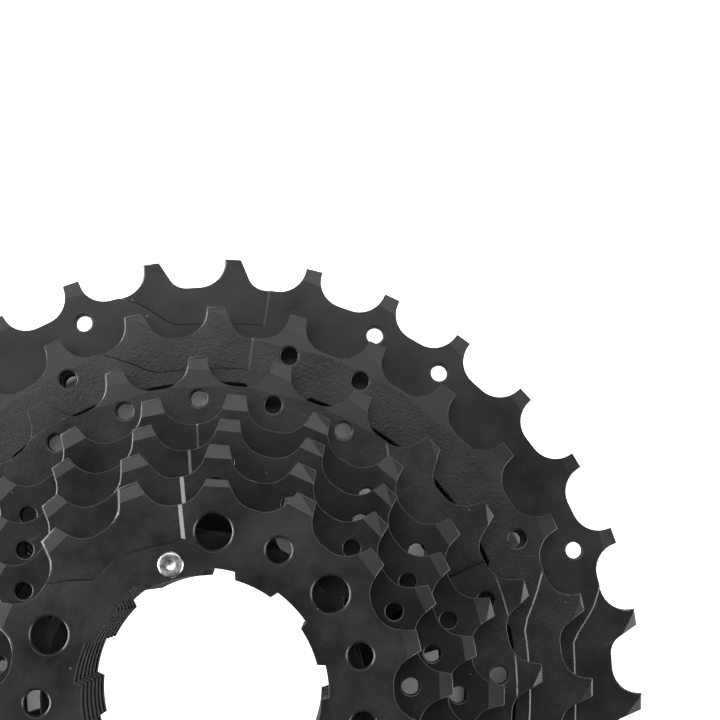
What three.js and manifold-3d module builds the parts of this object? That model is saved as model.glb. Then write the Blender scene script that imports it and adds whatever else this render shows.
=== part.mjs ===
// Riveted seven-sprocket cluster of a bicycle cassette, lying on its largest sprocket.
//
// Millimetres, +Z up along the wheel axis. The origin is the middle of the back face of the
// 32-tooth sprocket, which rests on z = 0 and seats against the flange of the freehub body.
// The sprockets are stacked with a spacer ring between each pair, and three long rivets run
// through the stack. Angles are in degrees, counted from +X towards +Y.

import * as THREE from 'three';
import * as BufferGeometryUtils from 'three/addons/utils/BufferGeometryUtils.js';
import Module from 'manifold-3d';

const wasm = await Module();
wasm.setup();

// Chain and stack
const CHAIN_PITCH = 12.7;
const PLATE = 1.78;               // thickness of every sprocket
const SPACER = 2.56;              // thickness of every spacer ring
const STEP = PLATE + SPACER;      // sprocket to sprocket

// Tooth form, measured from the pitch circle
const ROOT_DEPTH = 3.95;          // pitch circle down to the bottom of a valley
const TIP_HEIGHT = 0.52;          // pitch circle up to the tips
const SEAT_RADIUS = 4.1;          // arc on each side of a valley
const LEAN_SEAT_RADIUS = 2.9;     // the tighter arc beside a leaning tooth
const FACET_START = 2.15;         // the tip facet starts this far inside the tips
const FACET_DROP = 0.55;          // and takes this much off the front at the tips

// Splined bore that slides on the freehub body
const SPLINES = 9;
const SPLINE_PITCH = 360 / SPLINES;
const FIRST_GROOVE = 4.5;         // middle of one groove
const GROOVE_HALF_WIDTH = 9.3;    // degrees
const FLANK_ANGLE = 1.2;          // degrees that a spline's side takes
const RIVET_SIDE_TRIM = 4.5;      // degrees by which a groove is narrower beside a rivet
const BORE_TIP_RADIUS = 16.5;
const BORE_GROOVE_RADIUS = 17.6;
const SPACER_RECESS = 0.4;        // the spacers' bore is wider than the sprockets' by this
const SPACER_OUTER_RADIUS = 22.2;

// Rivets
const RIVETS = [103.6, 223.6, 343.6];
const RIVET_CIRCLE = 18.55;
const RIVET_HOLE = 1.4;
const RIVET_SHANK = 1.15;
const RIVET_HEAD = 1.83;
const RIVET_HEAD_HEIGHT = 0.5;
const RIVET_DIMPLE = 0.12;
const RIVET_SEAT_GAP = 0.02;
const SINK_DEPTH = 0.7;           // countersink in the back of the largest sprocket
const SINK_GAP = 0.25;

// Windows between the hub ring and the toothed ring
const WINDOW_COUNT = 6;
const WINDOW_INNER_RADIUS = 22.8;
const ARM_HALF_WIDTH = 3.9;

const RECESS_DEPTH = 0.6;         // shift ramps pressed into the front faces
const OVERCUT = 2;                // how far a cutter runs past the surface it cuts

// Mesh fineness, in steps
const SEAT_STEPS = 2;
const HOLE_STEPS = 8;
const RIM_STEPS = 27;
const RIVET_STEPS = 12;

// One entry for each sprocket, smallest first.
//   phase        middle of tooth 0
//   holes        circle, radius and tooth numbers of the lightening holes, repeated every `every` teeth
//   window       outer radius of the windows and the middle of one arm
//   ramps        shift ramps: radial wall, inner radius, where the slanted end starts and where it
//                runs out, in degrees, repeated every `every` teeth; an outer ramp starts at a radius
//   lean, short  teeth with a leaning flank and teeth cut low, repeated in the same way
const SPROCKETS = [
  {
    teeth: 15, phase: 14.2, every: 15,
    holes: [
      { circle: 22.66, radius: 1.75, at: [0, 2, 7, 9, 10, 14] },
      { circle: 22.66, radius: 2.55, at: [1, 3, 6, 8, 13] },
    ],
    ramps: [
      { wall: 96.3, inner: 21.7, shoulder: 133.5, end: 144.7 },
      { wall: 264.3, inner: 21.7, shoulder: 301.5, end: 312.7 },
    ],
    lean: [], short: [3, 10],
  },
  {
    teeth: 17, phase: 23.3, every: 17,
    holes: [{ circle: 29.1, radius: 1.2, at: [0, 1, 2, 3, 6, 7, 8, 9, 10, 11, 14, 15, 16] }],
    window: { outer: 24.8, arm: 43.6 },
    ramps: [
      { wall: 95.7, inner: 26.4, shoulder: 128, end: 139.4 },
      { wall: 265.1, inner: 26.4, shoulder: 297.4, end: 308.8 },
    ],
    lean: [4, 12], short: [],
  },
  {
    teeth: 19, phase: 9.5, every: 19,
    holes: [{ circle: 32.8, radius: 1.2, at: [0, 1, 2, 3, 4, 7, 8, 9, 10, 11, 12, 13, 16, 17, 18] }],
    window: { outer: 30.4, arm: 43.6 },
    ramps: [
      { wall: 94, inner: 31, shoulder: 123, end: 132.7 },
      { wall: 264.5, inner: 31, shoulder: 293.5, end: 303.2 },
    ],
    lean: [], short: [],
  },
  {
    teeth: 21, phase: 16.1, every: 21,
    holes: [{ circle: 36.35, radius: 1.2, at: [0, 1, 2, 3, 4, 7, 8, 9, 10, 11, 12, 13, 14, 17, 18, 19, 20] }],
    window: { outer: 34, arm: 30 },
    ramps: [
      { wall: 92.4, inner: 34.8, shoulder: 119.5, end: 127.6 },
      { wall: 263.8, inner: 34.8, shoulder: 290.9, end: 299 },
    ],
    lean: [], short: [],
  },
  {
    teeth: 24, phase: 2.5, every: 8,
    holes: [{ circle: 42.75, radius: 1.25, at: [0, 1, 4, 5, 6, 7] }],
    window: { outer: 37.6, arm: 16 },
    ramps: [
      { wall: 24.4, inner: 38.4, shoulder: 50.5, end: 54.9 },
      { outer: 45.2, from: -5, to: 24.4 },
    ],
    lean: [0, 1, 2, 3], short: [],
  },
  {
    teeth: 28, phase: 25.5, every: 7,
    holes: [{ circle: 50.92, radius: 1.32, at: [0, 3, 4] }],
    window: { outer: 45.6, arm: 17.5 },
    ramps: [{ wall: 83.3, inner: 47.6, shoulder: 99.5, end: 109 }],
    lean: [5, 6], short: [],
  },
  {
    teeth: 32, phase: 20.2, every: 8,
    holes: [
      { circle: 58.69, radius: 1.25, at: [0, 3, 4] },
      { circle: 50.6, radius: 1.3, at: [0.47] },
    ],
    window: { outer: 45.2, arm: 17.5 },
    ramps: [{ wall: -8, inner: 55.3, shoulder: 6, end: 14.6 }],
    lean: [6, 7], short: [],
  },
];
const SHORT_BY = 1.1;             // how much lower a short tooth is

const COLOURS = { sprocket: 0x2a2a2b, spacer: 0x1b1b1c, rivet: 0xb9bcc0 };

const rad = THREE.MathUtils.degToRad;
const polar = (radius, degrees) => new THREE.Vector2(
  radius * Math.cos(rad(degrees)),
  radius * Math.sin(rad(degrees)),
);

// Points on an arc about the axis, from one angle to another in degrees
function arcAbout(radius, from, to, steps) {
  const points = [];
  for (let i = 0; i <= steps; i += 1) points.push(polar(radius, from + (to - from) * i / steps));
  return points;
}

function circleAt(circle, degrees, radius, steps) {
  const centre = polar(circle, degrees);
  return arcAbout(radius, 0, 360 - 360 / steps, steps - 1).map((p) => p.add(centre));
}

const pitchRadius = (teeth) => CHAIN_PITCH / (2 * Math.sin(Math.PI / teeth));
const tipRadius = (teeth) => pitchRadius(teeth) + TIP_HEIGHT;
const rootRadius = (teeth) => pitchRadius(teeth) - ROOT_DEPTH;

// Every tooth number that a list names, when the list repeats `every` teeth
function repeated(list, spec) {
  const all = [];
  for (let turn = 0; turn < spec.teeth; turn += spec.every) {
    for (const number of list) all.push(number + turn);
  }
  return all;
}

// One side of a valley, from its flat bottom up to the tip of the tooth beside it.
// x runs across the valley and y runs outwards along its middle.
function valleySide(teeth, tip, seatRadius) {
  const share = (teeth - SPROCKETS[0].teeth) / 17;     // 0 on the smallest, 1 on the largest
  const bottomHalf = 0.4 + 0.6 * share;
  const tipHalf = 1.45 - 0.2 * share;
  const angle = Math.PI / teeth - Math.asin(tipHalf / tip);
  const corner = new THREE.Vector2(tip * Math.sin(angle), tip * Math.cos(angle));
  const centre = new THREE.Vector2(bottomHalf, rootRadius(teeth) + seatRadius);
  const reach = corner.clone().sub(centre);
  const tangent = reach.angle() - Math.acos(Math.min(1, seatRadius / reach.length()));
  const start = -Math.PI / 2;
  const sweep = THREE.MathUtils.euclideanModulo(tangent - start, 2 * Math.PI);
  const side = [];
  for (let i = 0; i <= SEAT_STEPS; i += 1) {
    const a = start + sweep * i / SEAT_STEPS;
    side.push(new THREE.Vector2(centre.x + seatRadius * Math.cos(a), centre.y + seatRadius * Math.sin(a)));
  }
  side.push(corner);
  return side;
}

function toothOutline(spec) {
  const lean = repeated(spec.lean, spec);
  const short = repeated(spec.short, spec);
  const tipOf = (n) => tipRadius(spec.teeth) - (short.includes(n % spec.teeth) ? SHORT_BY : 0);
  const outline = [];
  for (let n = 0; n < spec.teeth; n += 1) {
    // The valley after tooth n: its clockwise side is tooth n, its other side is tooth n + 1.
    const middle = rad(spec.phase + (n + 0.5) * 360 / spec.teeth);
    const near = valleySide(spec.teeth, tipOf(n), SEAT_RADIUS);
    const farSeat = lean.includes((n + 1) % spec.teeth) ? LEAN_SEAT_RADIUS : SEAT_RADIUS;
    const far = valleySide(spec.teeth, tipOf(n + 1), farSeat).map((p) => new THREE.Vector2(-p.x, p.y));
    for (const p of [...near.reverse(), ...far]) {
      outline.push(new THREE.Vector2(
        p.y * Math.cos(middle) + p.x * Math.sin(middle),
        p.y * Math.sin(middle) - p.x * Math.cos(middle),
      ));
    }
  }
  return outline;
}

// The splined bore. A groove is narrower on the side that faces a rivet.
function splinedBore(tip, groove) {
  const nearRivet = (degrees) => RIVETS.some((rivet) => {
    const off = THREE.MathUtils.euclideanModulo(degrees - rivet + 180, 360) - 180;
    return Math.abs(off) < SPLINE_PITCH / 2;
  });
  const outline = [];
  for (let n = 0; n < SPLINES; n += 1) {
    const middle = FIRST_GROOVE + n * SPLINE_PITCH;
    let from = middle - GROOVE_HALF_WIDTH;
    let to = middle + GROOVE_HALF_WIDTH;
    if (nearRivet(from - 2 * FLANK_ANGLE)) from += RIVET_SIDE_TRIM;
    if (nearRivet(to + 2 * FLANK_ANGLE)) to -= RIVET_SIDE_TRIM;
    outline.push(polar(tip, from - FLANK_ANGLE));
    outline.push(...arcAbout(groove, from, to, 2));
    outline.push(polar(tip, to + FLANK_ANGLE));
  }
  return outline;
}

// A window between two arms whose sides are parallel
function windowOutline(spec, n) {
  const arm = spec.window.arm + n * 360 / WINDOW_COUNT;
  const next = arm + 360 / WINDOW_COUNT;
  const inset = (radius) => THREE.MathUtils.radToDeg(Math.asin(ARM_HALF_WIDTH / radius));
  const outer = inset(spec.window.outer);
  const inner = inset(WINDOW_INNER_RADIUS);
  return [
    ...arcAbout(WINDOW_INNER_RADIUS, arm + inner, next - inner, 3),
    ...arcAbout(spec.window.outer, next - outer, arm + outer, 4),
  ];
}

function plate(outline, holes, thickness) {
  const shape = new THREE.Shape(outline);
  shape.holes = holes.map((points) => new THREE.Path(points));
  return new THREE.ExtrudeGeometry(shape, { depth: thickness, bevelEnabled: false, steps: 1 });
}

function toManifold(geometry) {
  const bare = geometry.clone();
  bare.deleteAttribute('normal');
  bare.deleteAttribute('uv');
  const merged = BufferGeometryUtils.mergeVertices(bare, 1e-4);
  const index = merged.index.array;
  const kept = [];
  for (let i = 0; i < index.length; i += 3) {
    const [a, b, c] = [index[i], index[i + 1], index[i + 2]];
    if (a !== b && b !== c && c !== a) kept.push(a, b, c);
  }
  const vertProperties = new Float32Array(merged.attributes.position.array);
  const triVerts = new Uint32Array(kept);
  return new wasm.Manifold(new wasm.Mesh({ numProp: 3, vertProperties, triVerts }));
}

function toGeometry(solid) {
  const mesh = solid.getMesh();
  const geometry = new THREE.BufferGeometry();
  geometry.setAttribute('position', new THREE.BufferAttribute(mesh.vertProperties, 3));
  geometry.setIndex(new THREE.BufferAttribute(mesh.triVerts, 1));
  return geometry;
}

// A solid of revolution about Z from a profile of [radius, height] pairs
function turned(profile, steps, startDegrees = 0) {
  const points = profile.map(([radius, height]) => new THREE.Vector2(radius, height));
  const lathe = new THREE.LatheGeometry(points, steps, rad(startDegrees));
  lathe.rotateX(Math.PI / 2);
  return lathe;
}

// The outer form of a sprocket: a disc with one flat facet for each tooth around its front edge.
// A lathe starts its first edge on -Y once it stands upright, hence the quarter turn.
function facetedDisc(spec) {
  const flat = Math.cos(Math.PI / spec.teeth);
  const tip = tipRadius(spec.teeth);
  const overTip = (tip + OVERCUT) / flat;
  const slope = FACET_DROP / FACET_START;
  const edge = spec.phase + 180 / spec.teeth + 90;
  return turned([
    [0, 0],
    [overTip, 0],
    [overTip, PLATE - slope * (FACET_START + OVERCUT)],
    [(tip - FACET_START) / flat, PLATE],
    [0, PLATE],
  ], spec.teeth, edge);
}

// What a shift ramp takes away from the front face
function rampCutter(ramp, spec, turn) {
  const beyond = tipRadius(spec.teeth) + OVERCUT;
  const root = rootRadius(spec.teeth);
  let outline;
  if (ramp.outer) {
    outline = [
      ...arcAbout(ramp.outer, ramp.from + turn, ramp.to + turn, 4),
      ...arcAbout(beyond, ramp.to + turn, ramp.from + turn, 4),
    ];
  } else {
    outline = [
      ...arcAbout(ramp.inner, ramp.wall + turn, ramp.shoulder + turn, 5),
      polar(root - 0.4, ramp.end - 0.6 + turn),
      polar(beyond, ramp.end + turn),
      ...arcAbout(beyond, ramp.end + turn, ramp.wall + turn, 6).slice(1),
    ];
  }
  const cutter = plate(outline.reverse(), [], RECESS_DEPTH + OVERCUT);
  cutter.translate(0, 0, PLATE - RECESS_DEPTH);
  return toManifold(cutter);
}

function rivetSink(degrees) {
  const back = RIVET_HEAD + SINK_GAP;
  const slope = (back - RIVET_HOLE) / SINK_DEPTH;
  const cone = turned([
    [0, -OVERCUT],
    [back + slope * OVERCUT, -OVERCUT],
    [RIVET_HOLE * 0.98, SINK_DEPTH * 1.02],
    [0, SINK_DEPTH * 1.02],
  ], RIVET_STEPS);
  const place = polar(RIVET_CIRCLE, degrees);
  cone.translate(place.x, place.y, 0);
  return toManifold(cone);
}

function sprocketGeometry(spec, isLargest) {
  const holes = [splinedBore(BORE_TIP_RADIUS, BORE_GROOVE_RADIUS)];
  for (const rivet of RIVETS) holes.push(circleAt(RIVET_CIRCLE, rivet, RIVET_HOLE, HOLE_STEPS));
  for (const row of spec.holes) {
    for (const number of repeated(row.at, spec)) {
      const degrees = spec.phase + number * 360 / spec.teeth;
      holes.push(circleAt(row.circle, degrees, row.radius, HOLE_STEPS));
    }
  }
  if (spec.window) {
    for (let n = 0; n < WINDOW_COUNT; n += 1) holes.push(windowOutline(spec, n));
  }
  let solid = toManifold(plate(toothOutline(spec), holes, PLATE));
  solid = solid.intersect(toManifold(facetedDisc(spec)));
  for (const ramp of spec.ramps) {
    for (let turn = 0; turn < spec.teeth; turn += spec.every) {
      solid = solid.subtract(rampCutter(ramp, spec, turn * 360 / spec.teeth));
    }
  }
  if (isLargest) {
    for (const rivet of RIVETS) solid = solid.subtract(rivetSink(rivet));
  }
  return toGeometry(solid);
}

function spacerGeometry() {
  const holes = [splinedBore(BORE_TIP_RADIUS + SPACER_RECESS, BORE_GROOVE_RADIUS + SPACER_RECESS)];
  for (const rivet of RIVETS) holes.push(circleAt(RIVET_CIRCLE, rivet, RIVET_HOLE, HOLE_STEPS));
  const rim = arcAbout(SPACER_OUTER_RADIUS, 0, 360 - 360 / RIM_STEPS, RIM_STEPS - 1);
  return plate(rim, holes, SPACER);
}

// A rivet stands on z = 0 with its countersunk tail down and its rolled head on the front face.
function rivetGeometry(stack) {
  const seat = stack + RIVET_SEAT_GAP;
  const crown = seat + RIVET_HEAD_HEIGHT;
  return turned([
    [0, 0],
    [RIVET_HEAD, 0],
    [RIVET_SHANK, SINK_DEPTH],
    [RIVET_SHANK, seat],
    [RIVET_HEAD, seat],
    [RIVET_HEAD * 0.9, seat + RIVET_HEAD_HEIGHT * 0.6],
    [RIVET_HEAD * 0.6, crown],
    [0, crown - RIVET_DIMPLE],
  ], RIVET_STEPS);
}

const materials = {
  sprocket: new THREE.MeshStandardMaterial({ color: COLOURS.sprocket, roughness: 0.42, metalness: 0.8 }),
  spacer: new THREE.MeshStandardMaterial({ color: COLOURS.spacer, roughness: 0.6, metalness: 0.1 }),
  rivet: new THREE.MeshStandardMaterial({ color: COLOURS.rivet, roughness: 0.3, metalness: 1 }),
};

const cluster = new THREE.Group();

function addNode(name, geometry, material, x, y, z) {
  const mesh = new THREE.Mesh(geometry, material);
  mesh.name = name;
  mesh.position.set(x, y, z);
  cluster.add(mesh);
}

const count = SPROCKETS.length;
const stackHeight = (count - 1) * STEP + PLATE;

SPROCKETS.forEach((spec, i) => {
  const level = (count - 1 - i) * STEP;
  addNode(`sprocket_${spec.teeth}t`, sprocketGeometry(spec, i === count - 1), materials.sprocket, 0, 0, level);
  if (i > 0) {
    const name = `spacer_${SPROCKETS[i - 1].teeth}t_${spec.teeth}t`;
    addNode(name, spacerGeometry(), materials.spacer, 0, 0, level + PLATE);
  }
});

RIVETS.forEach((degrees, i) => {
  const place = polar(RIVET_CIRCLE, degrees);
  addNode(`rivet_${i + 1}`, rivetGeometry(stackHeight), materials.rivet, place.x, place.y, 0);
});

export default cluster;
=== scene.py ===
import math

import bmesh
import bpy
from mathutils import Matrix, Vector


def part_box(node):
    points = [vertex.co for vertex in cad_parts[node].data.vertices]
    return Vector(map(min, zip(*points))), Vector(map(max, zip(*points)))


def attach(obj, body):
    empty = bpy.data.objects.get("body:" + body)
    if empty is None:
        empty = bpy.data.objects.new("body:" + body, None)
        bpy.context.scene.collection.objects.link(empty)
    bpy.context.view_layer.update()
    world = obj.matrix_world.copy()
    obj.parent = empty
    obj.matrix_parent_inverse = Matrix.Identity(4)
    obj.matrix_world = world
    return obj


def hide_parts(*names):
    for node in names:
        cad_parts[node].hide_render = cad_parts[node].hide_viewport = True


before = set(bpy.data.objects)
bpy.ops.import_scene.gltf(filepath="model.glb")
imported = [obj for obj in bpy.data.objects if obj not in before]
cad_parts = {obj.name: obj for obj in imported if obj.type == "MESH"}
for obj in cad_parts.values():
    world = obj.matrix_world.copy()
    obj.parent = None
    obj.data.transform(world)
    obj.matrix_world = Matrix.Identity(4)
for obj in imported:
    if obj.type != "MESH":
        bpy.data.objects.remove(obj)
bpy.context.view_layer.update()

mm = 0.001    # meshes are shaped in millimetres and brought to metres when they are finished

# Where each layer of the stack sits comes from the CAD parts in model.glb
chainPitch = 12.7
slack = 0.001         # how near counts as touching, in mm and in degrees
mergeDistance = 1e-4
flatNormal = 0.9      # a face whose normal is more upright than this is flat


def polar(radius, degrees):
    angle = math.radians(degrees)
    return Vector((radius * math.cos(angle), radius * math.sin(angle), 0))


def arcPoints(radius, start, end, steps):
    return [polar(radius, start + (end - start) * i / steps) for i in range(steps + 1)]


def degreesOf(point):
    return math.degrees(math.atan2(point.y, point.x))


def within(degrees, start, end):
    return (degrees - start) % 360 <= end - start


def closedLoop(bm, points):
    verts = [bm.verts.new(point) for point in points]
    for i, vert in enumerate(verts):
        bm.edges.new((vert, verts[(i + 1) % len(verts)]))


def everyTurn(numbers, spec):
    turns = spec["teeth"] // spec["every"]
    return [number + turn * spec["every"] for turn in range(turns) for number in numbers]


def pitchRadius(teeth):
    return chainPitch / (2 * math.sin(math.pi / teeth))


toothForm = {
    "rootDepth": 3.95,
    "tipHeight": 0.52,
    "tipHalf": 1.45,          # half a tip's width on the smallest plate, and how much less on the largest
    "tipNarrowing": 0.2,
    "seatShift": 0.4,         # the middle of a seat stands off a valley's own middle
    "seatWidening": 0.6,
    "seatRadius": 4.1,
    "leanRadius": 2.9,
    "shortBy": 1.1,
    "arcSteps": 9,
    "fewest": 15,
    "most": 32,
}


def valleySide(teeth, tip, seatRadius):
    # one side of a valley: x across it, y outwards
    share = (teeth - toothForm["fewest"]) / (toothForm["most"] - toothForm["fewest"])
    tipHalf = toothForm["tipHalf"] - toothForm["tipNarrowing"] * share
    angle = math.pi / teeth - math.asin(tipHalf / tip)
    corner = Vector((tip * math.sin(angle), tip * math.cos(angle), 0))
    root = pitchRadius(teeth) - toothForm["rootDepth"]
    centre = Vector((toothForm["seatShift"] + toothForm["seatWidening"] * share, root + seatRadius, 0))
    reach = corner - centre
    tangent = math.atan2(reach.y, reach.x) - math.acos(min(1, seatRadius / reach.length))
    sweep = (tangent + math.pi / 2) % (2 * math.pi)
    steps = toothForm["arcSteps"]
    side = []
    for i in range(steps + 1):
        a = -math.pi / 2 + sweep * i / steps
        side.append(centre + seatRadius * Vector((math.cos(a), math.sin(a), 0)))
    return side + [corner]


def toothOutline(spec):
    teeth = spec["teeth"]
    lean = everyTurn(spec["lean"], spec)
    short = everyTurn(spec["short"], spec)
    points = []
    for n in range(teeth):
        after = (n + 1) % teeth
        tip = pitchRadius(teeth) + toothForm["tipHeight"]
        nearTip = tip - (toothForm["shortBy"] if n in short else 0)
        farTip = tip - (toothForm["shortBy"] if after in short else 0)
        farSeat = toothForm["leanRadius"] if after in lean else toothForm["seatRadius"]
        near = valleySide(teeth, nearTip, toothForm["seatRadius"])
        far = valleySide(teeth, farTip, farSeat)
        middle = Matrix.Rotation(math.radians(spec["phase"] + (n + 0.5) * 360 / teeth - 90), 3, "Z")
        points += [middle @ point for point in reversed(near)]
        points += [middle @ Vector((-point.x, point.y, 0)) for point in far]
    return points


bore = {
    "splines": 9,
    "firstGroove": 4.5,       # degrees
    "grooveHalfWidth": 9.3,
    "flank": 1.2,
    "rivetSideTrim": 4.5,
    "tipRadius": 16.5,
    "grooveRadius": 17.6,
    "spacerRecess": 0.4,
    "arcSteps": 8,
}
rivetCircle = {"radius": 18.55, "angles": (103.6, 223.6, 343.6), "hole": 1.4, "segments": 24}


def splinedBore(tip, groove):
    spacing = 360 / bore["splines"]
    flank = bore["flank"]

    def nearRivet(degrees):
        return any(abs((degrees - rivet + 180) % 360 - 180) < spacing / 2 for rivet in rivetCircle["angles"])

    points = []
    for n in range(bore["splines"]):
        middle = bore["firstGroove"] + n * spacing
        start = middle - bore["grooveHalfWidth"]
        end = middle + bore["grooveHalfWidth"]
        if nearRivet(start - 2 * flank):
            start += bore["rivetSideTrim"]
        if nearRivet(end + 2 * flank):
            end -= bore["rivetSideTrim"]
        nextStart = middle + spacing - bore["grooveHalfWidth"]
        if nearRivet(nextStart - 2 * flank):
            nextStart += bore["rivetSideTrim"]
        points += arcPoints(groove, start, end, bore["arcSteps"])
        points += arcPoints(tip, end + flank, nextStart - flank, bore["arcSteps"])
    return points


windowForm = {
    "count": 6,
    "inner": 22.8,
    "armHalfWidth": 3.9,
    "corner": 1.2,            # a window's corners are cut off by this much along its arcs
    "cornerRise": 1.0,        # and by this much along its arms
    "innerSteps": 8,
    "outerSteps": 14,
}


def windowOutline(outer, arm, n):
    inner, rise = windowForm["inner"], windowForm["cornerRise"]
    start = arm + n * 360 / windowForm["count"]
    end = start + 360 / windowForm["count"]
    outerInset = math.degrees(math.asin((windowForm["armHalfWidth"] + windowForm["corner"]) / outer))
    innerInset = math.degrees(math.asin((windowForm["armHalfWidth"] + windowForm["corner"]) / inner))
    corner = math.degrees(math.asin(windowForm["armHalfWidth"] / outer))
    foot = math.degrees(math.asin(windowForm["armHalfWidth"] / inner))
    points = arcPoints(inner, start + innerInset, end - innerInset, windowForm["innerSteps"])
    points.append(polar(inner + rise, end - foot))
    points.append(polar(outer - rise, end - corner))
    points += arcPoints(outer, end - outerInset, start + outerInset, windowForm["outerSteps"])
    points.append(polar(outer - rise, start + corner))
    points.append(polar(inner + rise, start + foot))
    return points


def addCircle(bm, centre, radius, segments):
    bmesh.ops.create_circle(bm, segments=segments, radius=radius, matrix=Matrix.Translation(centre))


rims = {"front": 0.1, "back": 0.1, "steps": ((0.29, 0.71), (0.71, 0.29))}


def roundRim(bm, faces, radius, band=0):
    # inset steps turn the sharp edge round a face into a quarter round, and one more adds a flat band.
    # Each point keeps how far it is from the cut edge.
    distance = bm.verts.layers.float.get("rim") or bm.verts.layers.float.new("rim")
    steps = [(inwards * radius, up * radius) for inwards, up in rims["steps"]]
    if band:
        steps.append((band - radius, 0))
    reached = 0
    for thickness, depth in steps:
        bmesh.ops.inset_region(bm, faces=faces, use_boundary=True, use_even_offset=True,
                               thickness=thickness, depth=depth)
        reached += thickness
        for vert in {vert for face in faces for vert in face.verts}:
            vert[distance] = reached


def plateFromLoops(bm, thickness, frontRim, backRim, band=0):
    bmesh.ops.triangle_fill(bm, use_beauty=True, edges=bm.edges[:], normal=(0, 0, 1))
    bmesh.ops.recalc_face_normals(bm, faces=bm.faces[:])
    if bm.faces and sum(face.normal.z for face in bm.faces) > 0:
        bmesh.ops.reverse_faces(bm, faces=bm.faces[:])
    made = bmesh.ops.extrude_face_region(bm, geom=bm.faces[:])
    raised = [item for item in made["geom"] if isinstance(item, bmesh.types.BMVert)]
    bmesh.ops.translate(bm, verts=raised, vec=(0, 0, thickness - frontRim - backRim))
    bmesh.ops.translate(bm, verts=bm.verts[:], vec=(0, 0, backRim))
    bmesh.ops.recalc_face_normals(bm, faces=bm.faces[:])
    bm.normal_update()
    for sign, radius in ((1, frontRim), (-1, backRim)):
        caps = [face for face in bm.faces if face.normal.z * sign > flatNormal]
        roundRim(bm, caps, radius, band if sign > 0 else 0)
    bm.normal_update()


def cutAlong(bm, faces, point, across):
    # an upright cut through these faces
    edges = list({edge for face in faces for edge in face.edges})
    verts = list({vert for face in faces for vert in face.verts})
    bmesh.ops.bisect_plane(bm, geom=faces + edges + verts, dist=mergeDistance, plane_co=point, plane_no=across)


def frontFaces(bm, mid, test):
    raised = [face for face in bm.faces if min(vert.co.z for vert in face.verts) > mid]
    return [face for face in raised if test(face.calc_center_median())]


def slopeOff(bm, mid, tooth, half, inner, point, across, slope):
    # everything beyond the line through point slopes down, over the sector of one tooth
    def inSector(centre):
        return centre.xy.length > inner and within(degreesOf(centre), tooth - half, tooth + half)

    reached = [face for face in bm.faces
               if min(vert.co.z for vert in face.verts) > mid
               and any(inSector(vert.co) and (vert.co - point).xy.dot(across.xy) > 0 for vert in face.verts)]
    cutAlong(bm, reached, point, across)
    for vert in bm.verts:
        if vert.co.z <= mid or not inSector(vert.co):
            continue
        beyond = (vert.co - point).xy.dot(across.xy)
        if beyond > 1e-5:
            vert.co.z -= slope * beyond


flankBevel = {
    "slope": 1.1,
    "reach": 4.2,             # how far down from the tip it goes
    "fade": 1.2,              # and over what height it fades out
    "tipHeight": 0.3,         # the middle of the tip stays square
    "tipHalf": 0.9,
}


def chamferFlank(bm, mid, tooth, half, tip, band):
    # the flank towards larger angles gets a broad bevel that fades out above the valley
    distance = bm.verts.layers.float["rim"]
    for vert in bm.verts:
        if vert.co.z <= mid or vert[distance] >= band - slack:
            continue
        height = vert.co.xy.length
        turned = (degreesOf(vert.co) - tooth + 180) % 360 - 180
        if not 0 < turned < half or height < tip - flankBevel["reach"]:
            continue
        besideMiddle = math.radians(turned) * height
        if height > tip - flankBevel["tipHeight"] and besideMiddle < flankBevel["tipHalf"]:
            continue
        fade = min(1, (height - tip + flankBevel["reach"]) / flankBevel["fade"])
        vert.co.z -= fade * flankBevel["slope"] * (band - vert[distance])


facetForm = {
    "sectorBelow": 0.6,       # a facet's sector of the tooth starts this far below its line
    "wideBelow": 1,           # and that of a web or a slanted facet this far
    "highOut": 0.1,           # a slanted facet runs from beyond the far corner of the tip
    "highSide": 1.2,
    "lowSide": 1.9,           # down to the near flank
}


def toothFacets(bm, spec, mid):
    teeth = spec["teeth"]
    half = 180 / teeth
    tip = pitchRadius(teeth) + toothForm["tipHeight"]
    start, slope, skew = spec["facet"]
    upright = everyTurn(spec["upright"], spec)
    cornered, drop, steepness = spec["diagonal"]
    diagonal = everyTurn(cornered, spec)
    alone = spec.get("diagonalAlone", False)
    distance, webSlope, webTeeth = spec.get("web", (0, 0, ()))
    for n in range(teeth):
        middle = spec["phase"] + n * 360 / teeth
        out = polar(1, middle)
        side = polar(1, middle + 90)          # towards larger angles
        if n in upright:
            chamferFlank(bm, mid, middle, half, tip, spec["band"])
        if n in everyTurn(webTeeth, spec):
            inner = distance - facetForm["wideBelow"]
            slopeOff(bm, mid, middle, half, inner, out * distance, out, webSlope)
        if n not in diagonal or not alone:
            across = (Matrix.Rotation(math.radians(skew), 3, "Z") @ out).normalized()
            inner = tip - start - facetForm["sectorBelow"]
            slopeOff(bm, mid, middle, half, inner, out * (tip - start), across, slope)
        if n in diagonal:
            high = out * (tip + facetForm["highOut"]) + side * facetForm["highSide"]
            low = out * (tip - drop) - side * facetForm["lowSide"]
            line = (low - high).normalized()
            across = Vector((-line.y, line.x, 0))
            if across.dot(out) < 0:
                across = -across
            inner = tip - drop - facetForm["wideBelow"]
            slopeOff(bm, mid, middle, half, inner, high, across, steepness)


holeBevel = {"slope": 0.28, "segments": 36}


def bevelHoles(bm, spec, mid):
    # a bevel round every lightening hole
    slope = spec.get("holeBevel", holeBevel["slope"])
    for circle, radius, teeth in spec["holes"]:
        for n in everyTurn(teeth, spec):
            centre = polar(circle, spec["phase"] + n * 360 / spec["teeth"])
            for vert in bm.verts:
                apart = (vert.co - centre).xy.length - radius
                if vert.co.z > mid and apart < spec["band"] - slack:
                    vert.co.z -= slope * (spec["band"] - apart)


rampForm = {
    "depth": 0.62,
    "slope": 0.28,
    "wallSlope": 0.6,
    "edgeStep": 2.5,          # degrees
    "leastMitre": 0.45,       # how far the foot may run out at a sharp corner of the edge
    "cutBeyond": 60,          # degrees
    "floorShare": 0.3,        # of the plate's thickness: nothing below this moves
}


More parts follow.
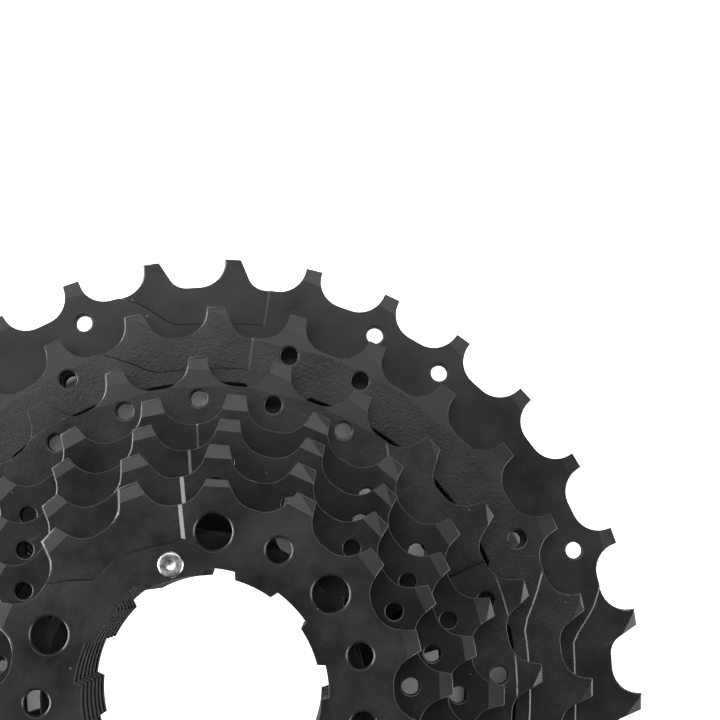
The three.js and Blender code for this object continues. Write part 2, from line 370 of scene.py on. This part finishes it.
def fineEdge(edge):
    # long parts of a ramp's edge follow an arc in small steps
    points = [edge[0]]
    for (degreesA, radiusA), (degreesB, radiusB) in zip(edge, edge[1:]):
        steps = math.ceil((degreesB - degreesA) / rampForm["edgeStep"])
        for i in range(1, steps + 1):
            share = i / steps
            points.append((degreesA + (degreesB - degreesA) * share, radiusA + (radiusB - radiusA) * share))
    return points


def sinkRamp(bm, mid, edge, turn, wallWidth):
    # the floor of a ramp lies beyond its edge, at the foot of a slope that follows the edge
    depth, width, beyond = rampForm["depth"], rampForm["slope"], rampForm["cutBeyond"]
    angles = [degrees + turn for degrees, radius in edge]
    top = [polar(radius, degrees + turn) for degrees, radius in edge]

    def outwards(a, b):
        line = (b - a).normalized()
        across = Vector((line.y, -line.x, 0))
        return across if across.dot(a) > 0 else -across

    acrosses = [outwards(a, b) for a, b in zip(top, top[1:])]
    foot = []
    for i, point in enumerate(top):
        meeting = acrosses[max(0, i - 1)] + acrosses[min(i, len(acrosses) - 1)]
        mitre = max(rampForm["leastMitre"], meeting.normalized().dot(point.normalized()))
        foot.append(point + point.normalized() * width / mitre)
    wall = polar(1, angles[0] + 90)

    def sameSide(centre):
        return within(degreesOf(centre), angles[0] - beyond, angles[-1] + beyond)

    for degrees in angles:
        cutAlong(bm, frontFaces(bm, mid, sameSide), Vector((0, 0, 0)), polar(1, degrees + 90))
    lines = []
    for i in range(len(acrosses)):
        def inWedge(centre):
            return within(degreesOf(centre), angles[i], angles[i + 1])

        lines.append((acrosses[i], outwards(foot[i], foot[i + 1])))
        if i == 0:
            cutAlong(bm, frontFaces(bm, mid, inWedge), top[0] + wall * wallWidth, wall)
            corner = acrosses[0] * wallWidth - wall * width
            cutAlong(bm, frontFaces(bm, mid, inWedge), top[0], corner.normalized())
        cutAlong(bm, frontFaces(bm, mid, inWedge), top[i], lines[i][0])
        cutAlong(bm, frontFaces(bm, mid, inWedge), foot[i], lines[i][1])

    span = angles[-1] - angles[0]
    for vert in bm.verts:
        if vert.co.z <= mid:
            continue
        turned = (degreesOf(vert.co) - angles[0] + slack) % 360 - slack
        if turned > span + slack:
            continue
        i = next(i for i in range(len(lines)) if turned + angles[0] <= angles[i + 1] + 1.1 * slack)
        past = (vert.co - top[i]).xy.dot(lines[i][0].xy)
        short = (foot[i] - vert.co).xy.dot(lines[i][1].xy)
        share = 0 if past <= 0 else 1 if short <= 0 else past / (past + short)
        share = min(share, max(0, (vert.co - top[0]).xy.dot(wall.xy) / wallWidth))
        vert.co.z -= depth * share


def finishPiece(bm, name, lift, materials, node):
    bmesh.ops.remove_doubles(bm, verts=bm.verts[:], dist=mergeDistance)
    bmesh.ops.translate(bm, verts=bm.verts[:], vec=(0, 0, lift / mm))
    bmesh.ops.scale(bm, verts=bm.verts[:], vec=(mm, mm, mm))
    mesh = bpy.data.meshes.new(name)
    bm.to_mesh(mesh)
    bm.free()
    piece = bpy.data.objects.new(name, mesh)
    bpy.context.scene.collection.objects.link(piece)
    for material in materials:
        mesh.materials.append(material)
    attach(piece, "root")
    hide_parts(node)
    return piece


class Shader:
    # a principled shader whose patterns read Object coordinates
    def __init__(self, name, colour, roughness, specular=0.5, metallic=0.0):
        self.material = bpy.data.materials.new(name)
        self.material.use_nodes = True
        self.nodes = self.material.node_tree.nodes
        self.links = self.material.node_tree.links
        self.main = self.nodes["Principled BSDF"]
        self.main.inputs["Base Color"].default_value = (*colour, 1)
        self.main.inputs["Roughness"].default_value = roughness
        self.main.inputs["Specular IOR Level"].default_value = specular
        self.main.inputs["Metallic"].default_value = metallic
        self.coords = self.nodes.new("ShaderNodeTexCoord").outputs["Object"]

    def placed(self, stretch=(1, 1, 1), turn=0.0):
        mapping = self.nodes.new("ShaderNodeMapping")
        mapping.vector_type = "TEXTURE"
        mapping.inputs["Scale"].default_value = stretch
        mapping.inputs["Rotation"].default_value = (0, 0, math.radians(turn))
        self.links.new(self.coords, mapping.inputs["Vector"])
        return mapping.outputs["Vector"]

    def noise(self, size, detail=3.0, vector=None, rough=0.5):
        # size is that of one blotch, in metres
        noise = self.nodes.new("ShaderNodeTexNoise")
        noise.inputs["Scale"].default_value = 1 / size
        noise.inputs["Detail"].default_value = detail
        noise.inputs["Roughness"].default_value = rough
        self.links.new(vector or self.coords, noise.inputs["Vector"])
        return noise.outputs["Fac"]

    def spots(self, size):
        cells = self.nodes.new("ShaderNodeTexVoronoi")
        cells.inputs["Scale"].default_value = 1 / size
        self.links.new(self.coords, cells.inputs["Vector"])
        return cells.outputs["Distance"]

    def fromOrigin(self):
        length = self.nodes.new("ShaderNodeVectorMath")
        length.operation = "LENGTH"
        self.links.new(self.coords, length.inputs[0])
        return length.outputs["Value"]

    def attribute(self, name):
        node = self.nodes.new("ShaderNodeAttribute")
        node.attribute_name = name
        return node.outputs["Fac"]

    def ramp(self, value, low, high, lowOut=0.0, highOut=1.0):
        node = self.nodes.new("ShaderNodeMapRange")
        node.inputs["From Min"].default_value = low
        node.inputs["From Max"].default_value = high
        node.inputs["To Min"].default_value = lowOut
        node.inputs["To Max"].default_value = highOut
        self.links.new(value, node.inputs["Value"])
        return node.outputs["Result"]

    def maths(self, operation, a, b):
        node = self.nodes.new("ShaderNodeMath")
        node.operation = operation
        for socket, value in zip(node.inputs, (a, b)):
            if isinstance(value, (int, float)):
                socket.default_value = value
            else:
                self.links.new(value, socket)
        return node.outputs["Value"]

    def blend(self, share, a, b):
        node = self.nodes.new("ShaderNodeMix")
        node.data_type = "RGBA"
        self.links.new(share, node.inputs["Factor"])
        for socket, value in ((node.inputs["A"], a), (node.inputs["B"], b)):
            if isinstance(value, tuple):
                socket.default_value = (*value, 1)
            else:
                self.links.new(value, socket)
        return node.outputs["Result"]

    def bump(self, height, depth, under=None):
        node = self.nodes.new("ShaderNodeBump")
        node.inputs["Strength"].default_value = 1
        node.inputs["Distance"].default_value = depth
        self.links.new(height, node.inputs["Height"])
        if under:
            self.links.new(under, node.inputs["Normal"])
        return node.outputs["Normal"]

    def finish(self, colour=None, roughness=None, normal=None):
        for name, value in (("Base Color", colour), ("Roughness", roughness), ("Normal", normal)):
            if value is not None:
                self.links.new(value, self.main.inputs[name])
        return self.material


coatPattern = {
    "cloud": 0.009,           # sizes are those of one blotch, in metres
    "cloudFrom": (0.3, 0.7),
    "roughnessSpread": 0.07,
    "dust": 0.0002,
    "dustEdge": 0.06,
    "dustWhere": (0.35, 0.65),
    "nick": 0.0034,
    "nickEdge": (0.035, 0.055),
    "nickPatch": 0.009,
    "nickStretch": (0.6, 0.8, 1),
    "nickTurn": 31,           # degrees
    "nickWhere": (0.54, 0.6),
    "scratch": 0.0014,
    "scratchStretch": (7, 1, 1),
    "scratchTurn": 24,        # degrees
    "scratchEdge": (0.735, 0.76),
    "scratchWhere": (0.5, 0.58),
    "wearWidth": 0.15,        # mm from the cut edge
    "wear": 0.0016,
    "wearFrom": (0.42, 0.66),
    "leastWear": 0.12,
    "wearPolish": 0.1,
    "wave": 0.004,
}


def coatedSteel(name, look):
    pattern = coatPattern
    shader = Shader(name, look["colour"], look["roughness"], look["specular"])
    cloudy = shader.noise(pattern["cloud"], 5, rough=0.6)
    grain = shader.placed((look["stretch"], 1, 1), look["grainTurn"])
    fine = shader.noise(look["grainSize"], 3, grain, 0.6)
    dark = tuple(value * (1 - look["clouds"]) for value in look["colour"])
    pale = tuple(value * (1 + 2 * look["clouds"]) for value in look["colour"])
    colour = shader.blend(shader.ramp(cloudy, *pattern["cloudFrom"]), dark, pale)
    # tiny pale specks all over the coat
    dustTo = look["dustFrom"] + pattern["dustEdge"]
    dust = shader.ramp(shader.noise(pattern["dust"], 1), look["dustFrom"], dustTo)
    dust = shader.maths("MULTIPLY", dust, shader.ramp(cloudy, *pattern["dustWhere"]))
    colour = shader.blend(dust, colour, look["dust"])
    # scattered larger nicks
    nick = shader.ramp(shader.spots(pattern["nick"]), *pattern["nickEdge"], 1, 0)
    turned = shader.placed(pattern["nickStretch"], pattern["nickTurn"])
    patches = shader.noise(pattern["nickPatch"], 2, turned)
    nick = shader.maths("MULTIPLY", nick, shader.ramp(patches, *pattern["nickWhere"]))
    colour = shader.blend(nick, colour, look["nick"])
    # thin scratches, few and short
    drawn = shader.placed(pattern["scratchStretch"], pattern["scratchTurn"])
    line = shader.noise(pattern["scratch"], 1, drawn)
    scratch = shader.ramp(line, *pattern["scratchEdge"])
    scratch = shader.maths("MULTIPLY", scratch, shader.ramp(cloudy, *pattern["scratchWhere"]))
    colour = shader.blend(scratch, colour, look["scratch"])
    # the coat is thin and rubbed where a cut edge turns over
    edge = shader.ramp(shader.attribute("rim"), 0.0, pattern["wearWidth"], 1, 0)
    uneven = shader.ramp(shader.noise(pattern["wear"], 3), *pattern["wearFrom"], pattern["leastWear"], 1)
    rubbed = shader.maths("MULTIPLY", edge, uneven)
    colour = shader.blend(rubbed, colour, look["rubbed"])
    smoothest = look["roughness"] - pattern["roughnessSpread"]
    roughest = look["roughness"] + pattern["roughnessSpread"]
    roughness = shader.ramp(cloudy, *pattern["cloudFrom"], smoothest, roughest)
    roughness = shader.maths("SUBTRACT", roughness, shader.maths("MULTIPLY", rubbed, pattern["wearPolish"]))
    normal = shader.bump(fine, look["grainDepth"])
    normal = shader.bump(shader.noise(pattern["wave"], 2), look["waveDepth"], normal)
    return shader.finish(colour, roughness, normal)


steelLook = {
    "colour": (0.0115, 0.0113, 0.011),
    "clouds": 0.3,
    "roughness": 0.34,
    "specular": 0.45,
    "grainSize": 0.0006,
    "grainDepth": 0.000015,
    "grainTurn": -40,
    "stretch": 1,
    "waveDepth": 0.00005,
    "dustFrom": 0.68,
    "dust": (0.05, 0.05, 0.05),
    "nick": (0.12, 0.12, 0.12),
    "scratch": (0.03, 0.03, 0.03),
    "rubbed": (0.035, 0.035, 0.0355),
}
bodyCoats = {
    "mottled": {"clouds": 0.5, "roughness": 0.32, "dustFrom": 0.66},
    "deep": {"colour": (0.0075, 0.0074, 0.0073), "specular": 0.36},
    "speckled": {"grainDepth": 0.00003, "dustFrom": 0.64},
    "grained": {
        "colour": (0.014, 0.0138, 0.0133),
        "grainDepth": 0.00005,
        "grainSize": 0.00032,
        "stretch": 1.6,
        "specular": 0.5,
    },
    "even": {"grainDepth": 0.000006, "waveDepth": 0.00002, "dustFrom": 0.74},
}
toothLook = {"grainDepth": 0.000004, "roughness": 0.36, "dustFrom": 0.74}
# near-black matt coat for the ramp slopes of the smaller plates: painted shade along the ramp edges
rampShadeLook = {
    "colour": (0.004, 0.004, 0.004),
    "specular": 0.15,
    "roughness": 0.6,
    "rubbed": (0.004, 0.004, 0.004),
}
cutLook = {
    "colour": (0.008, 0.008, 0.008),
    "specular": 0.08,
    "roughness": 0.85,
    "grainDepth": 0.00006,
    "rubbed": (0.012, 0.012, 0.012),
}
toothSteel = coatedSteel("toothSteel", {**steelLook, **toothLook})
rampShadeSteel = coatedSteel("rampShadeSteel", {**steelLook, **rampShadeLook})
cutSteel = coatedSteel("cutSteel", {**steelLook, **cutLook})
bodySteel = {coat: coatedSteel(coat + "Steel", {**steelLook, **look}) for coat, look in bodyCoats.items()}
print("steel coats done")

# phase is the middle of tooth 0, in degrees. Every list of teeth repeats after `every` teeth.
# A hole row is (circle, radius, teeth) and a window (outer radius, degrees of its first arm).
# A ramp is its edge as (degrees, radius) points, from its radial wall round to where it runs out.
# A facet is (how far below the tip, slope, degrees of skew), a web (distance, slope, teeth) and a
# diagonal (teeth, drop, slope).
sprocketData = {
    "sprocket_15t": {
        "coat": "mottled", "paintedShadeRamps": True, "band": 0.36, "holeBevel": 0.8,
        "teeth": 15, "phase": 14.2, "every": 15,
        "holes": [(22.66, 1.75, (0, 2, 7, 9, 10, 14)), (22.66, 2.55, (1, 3, 6, 8, 13))],
        "ramps": [
            [(96.3, 21.7), (103, 21.4), (110, 21.6), (117, 21.9), (124, 22.0), (130, 21.75), (134, 22.0),
             (137, 23.2), (141, 24.8), (143.5, 25.5), (144.7, 27.2)],
        ],
        "repeatRamp": (0, 168),
        "facet": (2.15, 0.25, 0),
        "lean": (), "short": (3, 10), "upright": (4, 5, 6), "diagonal": ((2,), 1.8, 0.2),
    },
    "sprocket_17t": {
        "coat": "deep", "paintedShadeRamps": True, "band": 0.24,
        "teeth": 17, "phase": 23.3, "every": 17,
        "holes": [(29.1, 1.2, (0, 1, 2, 3, 6, 7, 8, 9, 10, 11, 14, 15, 16))],
        "window": (24.8, 43.6),
        "ramps": [
            [(95.7, 26.3), (104, 26.3), (112, 26.5), (120, 26.6), (128, 26.4), (133, 28), (137, 29.8),
             (139.4, 31.3)],
        ],
        "repeatRamp": (0, 169.4),
        "facet": (2.0, 0.25, 0),
        "lean": (4, 12), "short": (), "upright": (4, 5, 6), "diagonal": ((1, 2), 1.8, 0.2),
    },
    "sprocket_19t": {
        "coat": "deep", "paintedShadeRamps": True, "band": 0.24, "wallSlope": 0.45,
        "teeth": 19, "phase": 9.5, "every": 19,
        "holes": [(32.8, 1.2, (0, 1, 2, 3, 4, 7, 8, 9, 10, 11, 12, 13, 16, 17, 18))],
        "window": (30.4, 43.6),
        "ramps": [
            [(94, 31), (101, 31), (108, 31.1), (116, 31.1), (123, 31), (127, 32.4), (131, 34), (132.7, 35.4)],
        ],
        "repeatRamp": (0, 170.5),
        "facet": (1.8, 0.27, 0),
        "lean": (), "short": (), "upright": (5, 6, 7), "diagonal": ((2, 3), 1.7, 0.2),
    },
    "sprocket_21t": {
        "coat": "deep", "paintedShadeRamps": True, "band": 0.24, "wallSlope": 0.35,
        "teeth": 21, "phase": 16.1, "every": 21,
        "holes": [(36.35, 1.2, (0, 1, 2, 3, 4, 7, 8, 9, 10, 11, 12, 13, 14, 17, 18, 19, 20))],
        "window": (34, 30),
        "ramps": [
            [(92.4, 34.8), (99, 34.8), (106, 34.8), (113, 34.8), (119.5, 34.8), (123, 36.4), (126, 38.2),
             (127.6, 39.4)],
        ],
        "repeatRamp": (0, 171.4),
        "facet": (2.4, 0.22, 0),
        "lean": (), "short": (), "upright": (5, 6, 7), "diagonal": ((0, 2, 3), 1.6, 0.22),
    },
    "sprocket_24t": {
        "coat": "speckled", "band": 0.3, "wallSlope": 0.25,
        "teeth": 24, "phase": 2.5, "every": 8,
        "holes": [(42.75, 1.25, (0, 1, 4, 5, 6, 7))],
        "window": (37.6, 16),
        "ramps": [
            [(24.4, 38.4), (30, 38.3), (36, 38.3), (42, 38.4), (46, 39.2), (49, 40.8), (52, 42.8),
             (54.9, 45.0)],
            [(-5, 45.3), (0, 45.2), (6, 45.2), (12, 45.2), (18, 45.2), (24.4, 45.2)],
        ],
        "facet": (2.1, 0.22, -8), "web": (44.4, 0.06, (4, 5, 6, 7)),
        "lean": (0, 1, 2, 3), "short": (), "upright": (6, 7),
        "diagonal": ((0, 1, 2, 3), 1.5, 0.42), "diagonalAlone": True,
    },
    "sprocket_28t": {
        "coat": "grained", "band": 0.3, "wallSlope": 0.35,
        "teeth": 28, "phase": 25.5, "every": 7,
        "holes": [(50.92, 1.32, (0, 3, 4))],
        "window": (45.6, 17.5),
        "ramps": [
            [(83.3, 47.7), (88, 47.6), (94, 47.5), (100, 47.6), (102, 48.3), (104, 49.5), (106.5, 51),
             (108.8, 52.3), (109.6, 53.4)],
        ],
        "facet": (2.5, 0.2, -10), "web": (52.1, 0.08, (0, 1, 2, 3, 4)),
        "lean": (5, 6), "short": (), "upright": (5, 6),
        "diagonal": ((5, 6), 1.9, 0.24), "diagonalAlone": True,
    },
    "sprocket_32t": {
        "coat": "even", "band": 0.3, "wallSlope": 0.35,
        "teeth": 32, "phase": 20.2, "every": 8,
        "holes": [(58.69, 1.25, (0, 3, 4)), (50.6, 1.3, (0.47,))],
        "window": (45.2, 17.5),
        "ramps": [
            [(-8, 55.2), (-3, 55), (2, 54.9), (5, 55), (6.5, 55.1), (8, 56), (10, 57.8), (11.5, 59.1),
             (12.5, 59.7), (14.4, 60.9)],
        ],
        "facet": (2.2, 0.2, -8),
        "lean": (6, 7), "short": (), "upright": (6, 7),
        "diagonal": ((6, 7), 2.2, 0.36), "diagonalAlone": True,
    },
}
shading = {
    "nearCut": 0.15,          # mm from the cut edge: the rim is smooth, and of the rest only a ramp's slope
    "wall": 0.2,              # a normal less upright than this is a wall's
    "slopeTop": 0.5,
    "outwards": 0.4,
    "facet": (0.3, 0.9999),
}


def makeSprocket(node, spec):
    low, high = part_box(node)
    thickness = (high.z - low.z) / mm
    bm = bmesh.new()
    closedLoop(bm, toothOutline(spec))
    closedLoop(bm, splinedBore(bore["tipRadius"], bore["grooveRadius"]))
    for angle in rivetCircle["angles"]:
        addCircle(bm, polar(rivetCircle["radius"], angle), rivetCircle["hole"], rivetCircle["segments"])
    for circle, radius, teeth in spec["holes"]:
        for n in everyTurn(teeth, spec):
            centre = polar(circle, spec["phase"] + n * 360 / spec["teeth"])
            addCircle(bm, centre, radius, holeBevel["segments"])
    if "window" in spec:
        outer, arm = spec["window"]
        for n in range(windowForm["count"]):
            closedLoop(bm, windowOutline(outer, arm, n))
    plateFromLoops(bm, thickness, rims["front"], rims["back"], spec["band"])
    mid = thickness / 2
    toothFacets(bm, spec, mid)
    bevelHoles(bm, spec, mid)
    rampFloor = rampForm["floorShare"] * thickness
    step = 360 * spec["every"] / spec["teeth"]
    turns = spec.get("repeatRamp") or [k * step for k in range(spec["teeth"] // spec["every"])]
    for edge in spec["ramps"]:
        for turn in turns:
            sinkRamp(bm, rampFloor, fineEdge(edge), turn, spec.get("wallSlope", rampForm["wallSlope"]))
    bm.normal_update()
    distance = bm.verts.layers.float["rim"]
    for face in bm.faces:
        nearCut = min(vert[distance] for vert in face.verts) < shading["nearCut"]
        upright = abs(face.normal.z)
        outwards = abs(face.normal.dot(face.calc_center_median().normalized()))
        leaning = shading["wall"] < upright < shading["slopeTop"]
        onSlope = leaning and outwards > shading["outwards"] and not nearCut
        face.smooth = upright < flatNormal and len(face.verts) == 4 if nearCut else onSlope
        if upright < shading["wall"]:
            face.material_index = 3
        # painted shade: on the smaller plates the ramp slopes take the near-black coat
        elif onSlope and spec.get("paintedShadeRamps"):
            face.material_index = 2
        elif shading["facet"][0] < face.normal.z < shading["facet"][1]:
            face.material_index = 1
    coats = (bodySteel[spec["coat"]], toothSteel, rampShadeSteel, cutSteel)
    piece = finishPiece(bm, node.replace("sprocket", "plate"), low.z, coats, node)
    print(node, "done:", len(piece.data.polygons), "faces")


for node, spec in sprocketData.items():
    makeSprocket(node, spec)

spacerForm = {"radius": 22.2, "segments": 144, "rim": 0.2}
mouldedLook = {
    "colour": (0.009, 0.009, 0.0095),
    "dark": (0.006, 0.006, 0.0065),
    "pale": (0.013, 0.013, 0.0135),
    "roughness": (0.72, 0.88),
    "specular": 0.1,
    "cloud": 0.006,
    "cloudFrom": (0.3, 0.7),
    "grain": 0.00045,
    "grainDepth": 0.00001,
}


def mouldedBlack(name, look):
    shader = Shader(name, look["colour"], look["roughness"][1], look["specular"])
    cloudy = shader.noise(look["cloud"], 3)
    colour = shader.blend(cloudy, look["dark"], look["pale"])
    roughness = shader.ramp(cloudy, *look["cloudFrom"], *look["roughness"])
    normal = shader.bump(shader.noise(look["grain"], 3), look["grainDepth"])
    return shader.finish(colour, roughness, normal)


spacerBlack = mouldedBlack("spacerBlack", mouldedLook)


def makeSpacer(node):
    low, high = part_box(node)
    bm = bmesh.new()
    addCircle(bm, Vector((0, 0, 0)), spacerForm["radius"], spacerForm["segments"])
    recess = bore["spacerRecess"]
    closedLoop(bm, splinedBore(bore["tipRadius"] + recess, bore["grooveRadius"] + recess))
    for angle in rivetCircle["angles"]:
        addCircle(bm, polar(rivetCircle["radius"], angle), rivetCircle["hole"], rivetCircle["segments"])
    plateFromLoops(bm, (high.z - low.z) / mm, spacerForm["rim"], spacerForm["rim"])
    for face in bm.faces:
        face.smooth = abs(face.normal.z) < flatNormal and len(face.verts) == 4
    finishPiece(bm, node.replace("spacer", "ring"), low.z, (spacerBlack,), node)


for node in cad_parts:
    if node.startswith("spacer"):
        makeSpacer(node)
print("spacer rings done")

rivetForm = {
    "head": 1.83,
    "headHeight": 0.5,
    "shank": 1.15,
    "sink": 0.7,              # the foot is countersunk this deep in the back plate
    "footEdge": (0.05, 0.06),
    "seatEdge": (0.06, 0.07),
    "shoulder": 0.16,         # the dome starts this far above the seat
    "domeInset": 0.32,
    "domeSteps": 6,
    "dimple": 0.16,
    "dimpleEdge": ((0.75, 0), (0.62, 0.02), (0.45, 0.1)),    # (radius, depth)
    "dimpleFloor": 0.2,
    "segments": 48,
}
rolledLook = {
    "colour": (0.62, 0.63, 0.64),
    "dark": (0.5, 0.51, 0.52),
    "pale": (0.72, 0.73, 0.74),
    "roughness": (0.2, 0.38),
    "metallic": 1.0,
    "cloud": 0.0011,
    "cloudFrom": (0.3, 0.7),
    "paleFrom": (0.35, 0.65),
    "grain": 0.0005,
    "grainDepth": 0.00002,
}


def rolledSteel(name, look):
    shader = Shader(name, look["colour"], look["roughness"][0], metallic=look["metallic"])
    cloudy = shader.noise(look["cloud"], 4)
    colour = shader.blend(shader.ramp(cloudy, *look["paleFrom"]), look["dark"], look["pale"])
    roughness = shader.ramp(cloudy, *look["cloudFrom"], *look["roughness"])
    normal = shader.bump(shader.noise(look["grain"], 3), look["grainDepth"])
    return shader.finish(colour, roughness, normal)


rivetSteel = rolledSteel("rivetSteel", rolledLook)


def makeRivet(node):
    low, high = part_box(node)
    centre = Vector(((low.x + high.x) / 2, (low.y + high.y) / 2, 0)) / mm
    top = high.z / mm
    head, rise, shoulder = rivetForm["head"], rivetForm["headHeight"], rivetForm["shoulder"]
    shank = rivetForm["shank"]
    seat = top - rise
    bm = bmesh.new()
    inset, lift = rivetForm["footEdge"]
    profile = [(0.0, 0.0), (head - inset, 0.0), (head, lift), (shank, rivetForm["sink"])]
    inset, lift = rivetForm["seatEdge"]
    profile += [(shank, seat), (head - inset, seat), (head, seat + lift), (head, seat + shoulder)]
    for i in range(1, rivetForm["domeSteps"] + 1):
        lean = math.radians(90 / rivetForm["domeSteps"] * i)
        radius = head - rivetForm["domeInset"] * (1 - math.cos(lean))
        profile.append((radius, seat + shoulder + (rise - shoulder) * math.sin(lean)))
    profile += [(radius, top - depth) for radius, depth in rivetForm["dimpleEdge"]]
    profile += [(radius, top - rivetForm["dimple"]) for radius in (rivetForm["dimpleFloor"], 0.0)]
    verts = [bm.verts.new((radius, 0, height)) for radius, height in profile]
    edges = [bm.edges.new(pair) for pair in zip(verts, verts[1:])]
    bmesh.ops.spin(bm, geom=verts + edges, cent=(0, 0, 0), axis=(0, 0, 1), angle=2 * math.pi,
                   steps=rivetForm["segments"], use_merge=True)
    bmesh.ops.remove_doubles(bm, verts=bm.verts[:], dist=mergeDistance)
    bmesh.ops.recalc_face_normals(bm, faces=bm.faces[:])
    bmesh.ops.translate(bm, verts=bm.verts[:], vec=centre)
    for face in bm.faces:
        face.smooth = True
    finishPiece(bm, node.replace("rivet", "pin"), 0, (rivetSteel,), node)


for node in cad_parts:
    if node.startswith("rivet"):
        makeRivet(node)
print("rivets done")

floorLook = {
    "drop": 0.0003,
    "size": 3.0,
    "colour": (0.9, 0.9, 0.9),
    "roughness": 0.8,
    "glow": 1.6,
    "shade": 0.03,
    "boreEdge": (0.0175, 0.0215),    # metres from the axis, over which the light fades
    "rimEdge": (0.0512, 0.057),
}
bm = bmesh.new()
bmesh.ops.create_grid(bm, x_segments=1, y_segments=1, size=floorLook["size"])
bmesh.ops.translate(bm, verts=bm.verts[:], vec=(0, 0, -floorLook["drop"]))
mesh = bpy.data.meshes.new("floor")
bm.to_mesh(mesh)
bm.free()
floor = bpy.data.objects.new("floor", mesh)
bpy.context.scene.collection.objects.link(floor)
floorPaint = Shader("floorPaint", floorLook["colour"], floorLook["roughness"])
# the floor glows evenly bright all round and through the bore, with a painted shadow ring under the plates
glow, shade = floorLook["glow"], floorLook["shade"]
away = floorPaint.fromOrigin()
inner = floorPaint.ramp(away, *floorLook["boreEdge"], glow, shade)
outer = floorPaint.ramp(away, *floorLook["rimEdge"], shade, glow)
floorPaint.main.inputs["Emission Color"].default_value = (1, 1, 1, 1)
floorPaint.links.new(floorPaint.maths("MAXIMUM", inner, outer), floorPaint.main.inputs["Emission Strength"])
mesh.materials.append(floorPaint.finish())

view = {
    "place": (17.22, 17.895, 292.22),    # mm
    "lens": 94.7,
    "sensor": 36,
    "pitch": 0.1082,
    "yaw": -0.0176,
    "nearest": 0.01,
}
cameraData = bpy.data.cameras.new("camera")
cameraData.lens = view["lens"]
cameraData.sensor_width = view["sensor"]
cameraData.clip_start = view["nearest"]
camera = bpy.data.objects.new("camera", cameraData)
camera.matrix_world = (Matrix.Translation(Vector(view["place"]) * mm)
                       @ Matrix.Rotation(view["yaw"], 4, "Y") @ Matrix.Rotation(view["pitch"], 4, "X"))
bpy.context.scene.collection.objects.link(camera)
bpy.context.scene.camera = camera

lamps = {
    "overLeft": {"place": (-0.5, 0.09, 0.77), "size": (0.6, 0.5), "power": 1.75},
    "overTop": {"place": (0.02, 0.46, 0.78), "size": (0.8, 0.45), "power": 3.2},
    "leftStrip": {"place": (-0.7, 0.05, 0.14), "size": (0.9, 0.22), "power": 15},
    "rightPanel": {"place": (0.62, -0.1, 0.26), "size": (0.5, 0.4), "power": 5},
}
for name, lamp in lamps.items():
    light = bpy.data.lights.new(name, "AREA")
    light.shape = "RECTANGLE"
    light.size, light.size_y = lamp["size"]
    light.energy = lamp["power"]
    holder = bpy.data.objects.new(name, light)
    place = Vector(lamp["place"])
    turn = (-place).to_track_quat("-Z", "Y").to_matrix().to_4x4()
    holder.matrix_world = Matrix.Translation(place) @ turn
    bpy.context.scene.collection.objects.link(holder)
worldLook = {"colour": (0.97, 0.98, 1, 1), "strength": 0.1}
world = bpy.data.worlds.new("studio")
world.use_nodes = True
background = world.node_tree.nodes["Background"]
background.inputs["Color"].default_value = worldLook["colour"]
background.inputs["Strength"].default_value = worldLook["strength"]
bpy.context.scene.world = world
bpy.context.scene.view_settings.view_transform = "Standard"
print("floor, camera and lights done")
